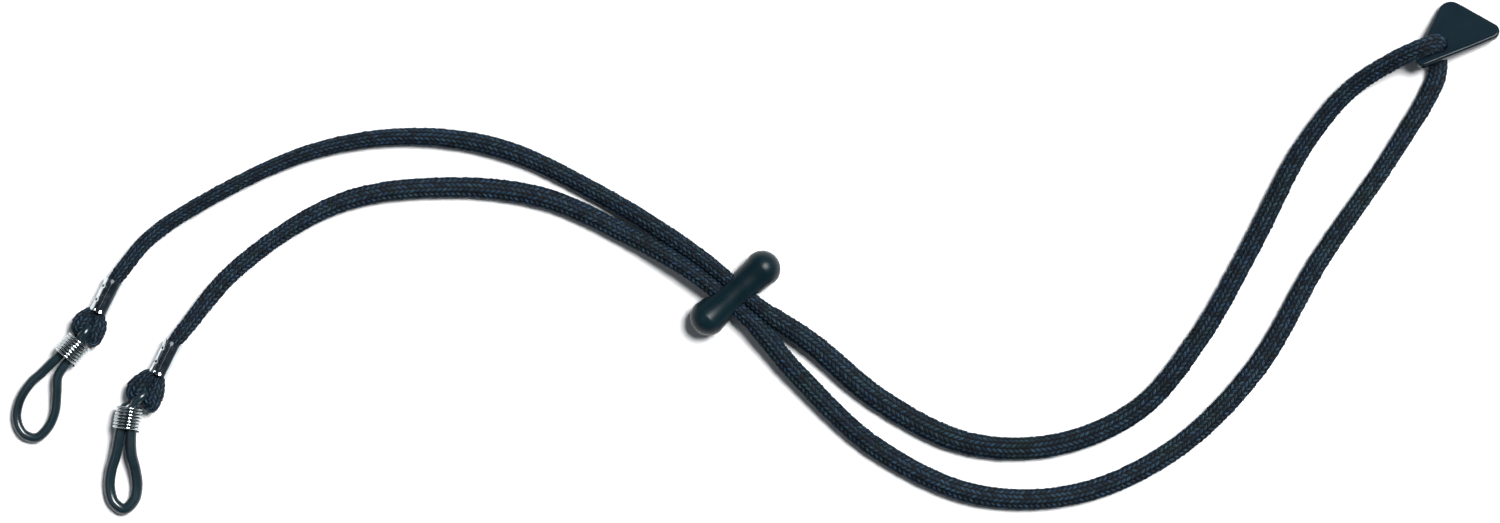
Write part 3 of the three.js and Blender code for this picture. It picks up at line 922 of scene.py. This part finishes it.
class Shader:
    """A node material, with a method for each kind of node that is used here."""

    def __init__(self, name):
        self.material = bpy.data.materials.new(name)
        self.material.use_nodes = True
        self.tree = self.material.node_tree
        self.surface = self.tree.nodes["Principled BSDF"]

    def node(self, kind, **settings):
        node = self.tree.nodes.new(kind)
        for name, value in settings.items():
            setattr(node, name, value)
        return node

    def put(self, value, socket):
        if isinstance(value, bpy.types.NodeSocket):
            self.tree.links.new(value, socket)
        else:
            socket.default_value = value

    def maths(self, operation, *inputs):
        node = self.node("ShaderNodeMath", operation=operation)
        for value, socket in zip(inputs, node.inputs):
            self.put(value, socket)
        return node.outputs[0]

    def noise(self, scale, detail=2.0, vector=None, roughness=0.5):
        node = self.node("ShaderNodeTexNoise")
        node.inputs["Scale"].default_value = scale
        node.inputs["Detail"].default_value = detail
        node.inputs["Roughness"].default_value = roughness
        where = vector or self.node("ShaderNodeTexCoord").outputs["Object"]
        self.tree.links.new(where, node.inputs["Vector"])
        return node.outputs["Fac"]

    def span(self, value, low, high, to_low=0.0, to_high=1.0):
        """The value, moved from the range low to high to another range, and held in it."""
        node = self.node("ShaderNodeMapRange")
        self.put(value, node.inputs["Value"])
        self.put(low, node.inputs["From Min"])
        self.put(high, node.inputs["From Max"])
        self.put(to_low, node.inputs["To Min"])
        self.put(to_high, node.inputs["To Max"])
        return node.outputs["Result"]

    def mix(self, share, one, two, blend="MIX"):
        """Two colours mixed. Each is a socket, or red, green and blue."""
        node = self.node("ShaderNodeMix", data_type="RGBA", blend_type=blend)
        self.put(share, node.inputs["Factor"])
        colour_inputs = node.inputs[MIX_COLOUR_A:MIX_COLOUR_B + 1]
        for value, socket in zip((one, two), colour_inputs):
            if not isinstance(value, bpy.types.NodeSocket):
                value = (*value, 1.0)
            self.put(value, socket)
        return node.outputs[MIX_COLOUR_RESULT]

    def combine(self, *parts):
        """A vector, or a colour, of up to three numbers. The rest of them are zero."""
        node = self.node("ShaderNodeCombineXYZ")
        for value, socket in zip(parts, node.inputs):
            self.put(value, socket)
        return node.outputs[0]

    def bump(self, height, distance, under=None, strength=1.0):
        node = self.node("ShaderNodeBump")
        node.inputs["Strength"].default_value = strength
        node.inputs["Distance"].default_value = distance
        self.tree.links.new(height, node.inputs["Height"])
        if under:
            self.tree.links.new(under, node.inputs["Normal"])
        return node.outputs["Normal"]

    def link(self, value, name):
        """Gives one of the surface's own inputs a number, a colour or another's output."""
        self.put(value, self.surface.inputs[name])


BRAID_BLUE = (0.0058, 0.0155, 0.0315)
BRAID_SLATE = (0.0080, 0.0190, 0.0285)
BRAID_MOSS = (0.0080, 0.0200, 0.0215)
BRAID_SHEEN = (0.45, 0.60, 0.80, 1.0)
FIBRE_STRETCH = 3.0                  # a fibre bundle's wander across its column
FIBRE_WAVER = 0.35                   # of a strand, by which fibres shift its edge
FIBRE_HEIGHT = 0.00006
STRAND_HEIGHT = 0.00008
CROWN_HEIGHT = 0.00010


def braid_material():
    """Polyester braid. The UV finds the stitches that the mesh has, and each has its own tone
    and fibre bundles along it. Its base colour also carries painted light: painted shade in
    the gaps round each stitch and between its strands, a painted highlight on its crown, and
    fibre flecks that are partly uneven fibre tone and partly painted fibre highlights."""
    shader = Shader("braided_polyester")
    uv = shader.node("ShaderNodeUVMap", uv_map="lay").outputs[0]
    parts = shader.node("ShaderNodeSeparateXYZ")
    shader.put(uv, parts.inputs[0])
    u, v = parts.outputs[0], parts.outputs[1]
    column = shader.maths("FLOOR", u)
    share = shader.maths("FRACT", u)
    odd = shader.maths("MODULO", column, 2.0)
    sign = shader.maths("SUBTRACT", 1.0, shader.maths("MULTIPLY", odd, 2.0))
    lean = shader.maths("MULTIPLY", shader.maths("SUBTRACT", share, 0.5), BRAID_LEAN)
    yarn = shader.maths("ADD", v, shader.maths("MULTIPLY", sign, lean))
    yarn = shader.maths("ADD", yarn, shader.maths("MULTIPLY", odd, BRAID_STAGGER))
    row = shader.maths("FLOOR", yarn)
    inside = shader.maths("FRACT", yarn)
    across = shader.maths("SINE", shader.maths("MULTIPLY", share, math.pi))
    along = shader.maths("SINE", shader.maths("MULTIPLY", inside, math.pi))
    crown = shader.maths("POWER", shader.maths("MULTIPLY", across, along), 0.5)

    own = shader.node("ShaderNodeTexWhiteNoise", noise_dimensions="3D")
    shader.put(shader.combine(column, row), own.inputs["Vector"])
    own = own.outputs["Value"]

    bundle = shader.combine(
        shader.maths("MULTIPLY", yarn, BRAID_FIBRES),
        shader.maths("MULTIPLY", share, FIBRE_STRETCH),
        column,
    )
    fibre = shader.noise(scale=1.0, detail=3.0, vector=bundle, roughness=0.65)
    strand = shader.maths("MULTIPLY", inside, BRAID_STRANDS)
    waver = shader.span(fibre, 0.0, 1.0, -FIBRE_WAVER, FIBRE_WAVER)
    strand = shader.maths("MULTIPLY", shader.maths("ADD", strand, waver), math.pi)
    strand = shader.maths("ABSOLUTE", shader.maths("SINE", strand))

    patch = shader.noise(scale=700.0)
    wander = shader.noise(scale=110.0)
    colour = shader.mix(shader.span(patch, 0.40, 0.62), BRAID_SLATE, BRAID_BLUE)
    colour = shader.mix(shader.span(wander, 0.55, 0.70, 0.0, 0.6), colour, BRAID_MOSS)
    # Base colour: random tone per stitch, times painted light. The fibre factor is partly
    # uneven fibre tone and partly painted fibre highlights, the strand factor is painted
    # shade between strands, and the crown factor is painted shade in the gaps and a painted
    # highlight on each crown.
    tone_and_painted_light = shader.span(own, 0.0, 1.0, 0.45, 1.75)
    for detail in (
        shader.span(fibre, 0.36, 0.66, 0.45, 2.0),
        shader.span(strand, 0.10, 0.80, 0.75, 1.15),
        shader.span(crown, 0.42, 0.95, 0.04, 1.50),
    ):
        tone_and_painted_light = shader.maths("MULTIPLY", tone_and_painted_light, detail)
    tone_and_painted_light_grey = shader.combine(tone_and_painted_light, tone_and_painted_light, tone_and_painted_light)
    shader.link(shader.mix(1.0, colour, tone_and_painted_light_grey, "MULTIPLY"), "Base Color")
    shader.link(shader.span(fibre, 0.3, 0.7, 0.70, 0.52), "Roughness")
    surface = shader.bump(fibre, FIBRE_HEIGHT)
    surface = shader.bump(strand, STRAND_HEIGHT, under=surface)
    surface = shader.bump(crown, CROWN_HEIGHT, under=surface, strength=0.6)
    shader.link(surface, "Normal")
    shader.link(0.15, "Specular IOR Level")
    shader.link(0.03, "Sheen Weight")
    shader.link(0.45, "Sheen Roughness")
    shader.link(BRAID_SHEEN, "Sheen Tint")
    return shader.material


SPECK_BRIGHTNESS = 1.9               # of the lighter tone
SMUDGE_HEIGHT = 1.5                  # of the grain's
NICKEL_DULL = (0.48, 0.52, 0.53)
NICKEL_BRIGHT = (0.60, 0.66, 0.69)
NICKEL_WORN = (0.34, 0.33, 0.30)
SCRATCH_DEPTH = 0.0000012


def moulded_material(name, dark, light, rough, grain, grain_scale, marks, shine):
    """Moulded rubber or plastic: uneven tone, fine grain, and smudges that dull the gloss."""
    shader = Shader(name)
    tone = shader.noise(scale=140.0, detail=3.0)
    speck = shader.noise(scale=2600.0)
    smudge = shader.noise(scale=330.0, detail=5.0, roughness=0.6)
    colour = shader.mix(shader.span(tone, 0.35, 0.68), dark, light)
    bright = tuple(SPECK_BRIGHTNESS * part for part in light)
    colour = shader.mix(shader.span(speck, 0.66, 0.80, 0.0, marks), colour, bright)
    shader.link(colour, "Base Color")
    shader.link(shader.span(smudge, 0.30, 0.72, *rough), "Roughness")
    texture = shader.noise(scale=grain_scale, detail=3.0, roughness=0.6)
    surface = shader.bump(texture, grain)
    surface = shader.bump(smudge, SMUDGE_HEIGHT * grain, under=surface, strength=0.5)
    shader.link(surface, "Normal")
    shader.link(shine, "Specular IOR Level")
    return shader.material


def metal_material():
    """Polished nickel plate with fine handling scratches and duller patches."""
    shader = Shader("nickel_plate")
    shader.link(1.0, "Metallic")
    patch = shader.noise(scale=450.0, detail=3.0)
    wear = shader.noise(scale=1500.0, detail=4.0, roughness=0.65)
    colour = shader.mix(shader.span(patch, 0.35, 0.65), NICKEL_DULL, NICKEL_BRIGHT)
    colour = shader.mix(shader.span(wear, 0.64, 0.78, 0.0, 0.4), colour, NICKEL_WORN)
    shader.link(colour, "Base Color")
    shader.link(shader.span(patch, 0.35, 0.70, 0.07, 0.17), "Roughness")
    shader.link(shader.bump(wear, SCRATCH_DEPTH), "Normal")
    return shader.material


def paint(piece, material):
    piece.data.materials.append(material)


BRAID = braid_material()
METAL = metal_material()
RUBBER = moulded_material(
    "black_rubber",
    dark=(0.0055, 0.0140, 0.0195),
    light=(0.0090, 0.0215, 0.0285),
    rough=(0.18, 0.30),
    grain=0.000006,
    grain_scale=2400.0,
    marks=0.5,
    shine=0.5,
)
BEAD = moulded_material(
    "moulded_rubber",
    dark=(0.0020, 0.0088, 0.0130),
    light=(0.0034, 0.0132, 0.0185),
    rough=(0.25, 0.40),
    grain=0.000010,
    grain_scale=3200.0,
    marks=0.6,
    shine=0.18,
)
TAB = moulded_material(
    "gloss_plastic",
    dark=(0.0058, 0.0130, 0.0190),
    light=(0.0078, 0.0165, 0.0232),
    rough=(0.10, 0.18),
    grain=0.000002,
    grain_scale=1800.0,
    marks=0.25,
    shine=0.1,
)

paint(neck_cord, BRAID)
paint(slider_bead(), BEAD)
paint(pull_tab(), TAB)
for side, end in ENDS.items():
    paint(cord_eye(side), BRAID)
    paint(ferrule(side), METAL)
    paint(coil(side), METAL)
    ring = rubber_ring(side)
    paint(ring, RUBBER)
    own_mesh(ring)

# ---------------------------------------------------------------- floor and light


def make_floor():
    shader = Shader("paper_floor")
    tone = shader.noise(scale=6.0)
    shader.link(shader.mix(tone, PAPER_DARK, PAPER_LIGHT), "Base Color")
    shader.link(0.9, "Roughness")
    corners = np.array([(-1, -1, 0), (1, -1, 0), (1, 1, 0), (-1, 1, 0)]) * FLOOR_HALF_WIDTH
    floor = mesh_piece("floor", corners, [(0, 1, 2, 3)])
    paint(floor, shader.material)


def aim_at_part(light, place):
    light.location = place
    light.rotation_mode = "QUATERNION"
    light.rotation_quaternion = Vector([-x for x in place]).to_track_quat("-Z", "Y")
    bpy.context.scene.collection.objects.link(light)


def wide_sun(name, place, angle, strength):
    """A distant soft light, which lights the whole floor evenly."""
    data = bpy.data.lights.new(name, "SUN")
    data.angle = angle
    data.energy = strength
    aim_at_part(bpy.data.objects.new(name, data), place)


def area_light(name, place, size, power):
    data = bpy.data.lights.new(name, "AREA")
    data.size = size
    data.energy = power
    light = bpy.data.objects.new(name, data)
    light.visible_camera = False
    aim_at_part(light, place)


def make_world():
    """A studio seen in reflections: its colour goes by the height above the horizon."""
    world = bpy.data.worlds.new("studio")
    world.use_nodes = True
    tree = world.node_tree
    where = tree.nodes.new("ShaderNodeTexCoord")
    parts = tree.nodes.new("ShaderNodeSeparateXYZ")
    ramp = tree.nodes.new("ShaderNodeValToRGB")
    tree.links.new(where.outputs["Generated"], parts.inputs[0])
    tree.links.new(parts.outputs[2], ramp.inputs[0])
    tree.links.new(ramp.outputs[0], tree.nodes["Background"].inputs["Color"])
    ramp.color_ramp.elements[0].color = HORIZON_COLOUR
    ramp.color_ramp.elements[1].color = CEILING_COLOUR
    ramp.color_ramp.elements.new(WALL_HEIGHT).color = WALL_COLOUR
    tree.nodes["Background"].inputs["Strength"].default_value = STUDIO_STRENGTH
    bpy.context.scene.world = world


make_floor()
make_world()
wide_sun("key", KEY_PLACE, KEY_ANGLE, KEY_STRENGTH)
area_light("fill", FILL_PLACE, FILL_SIZE, FILL_POWER)
bpy.context.scene.view_settings.view_transform = "Standard"
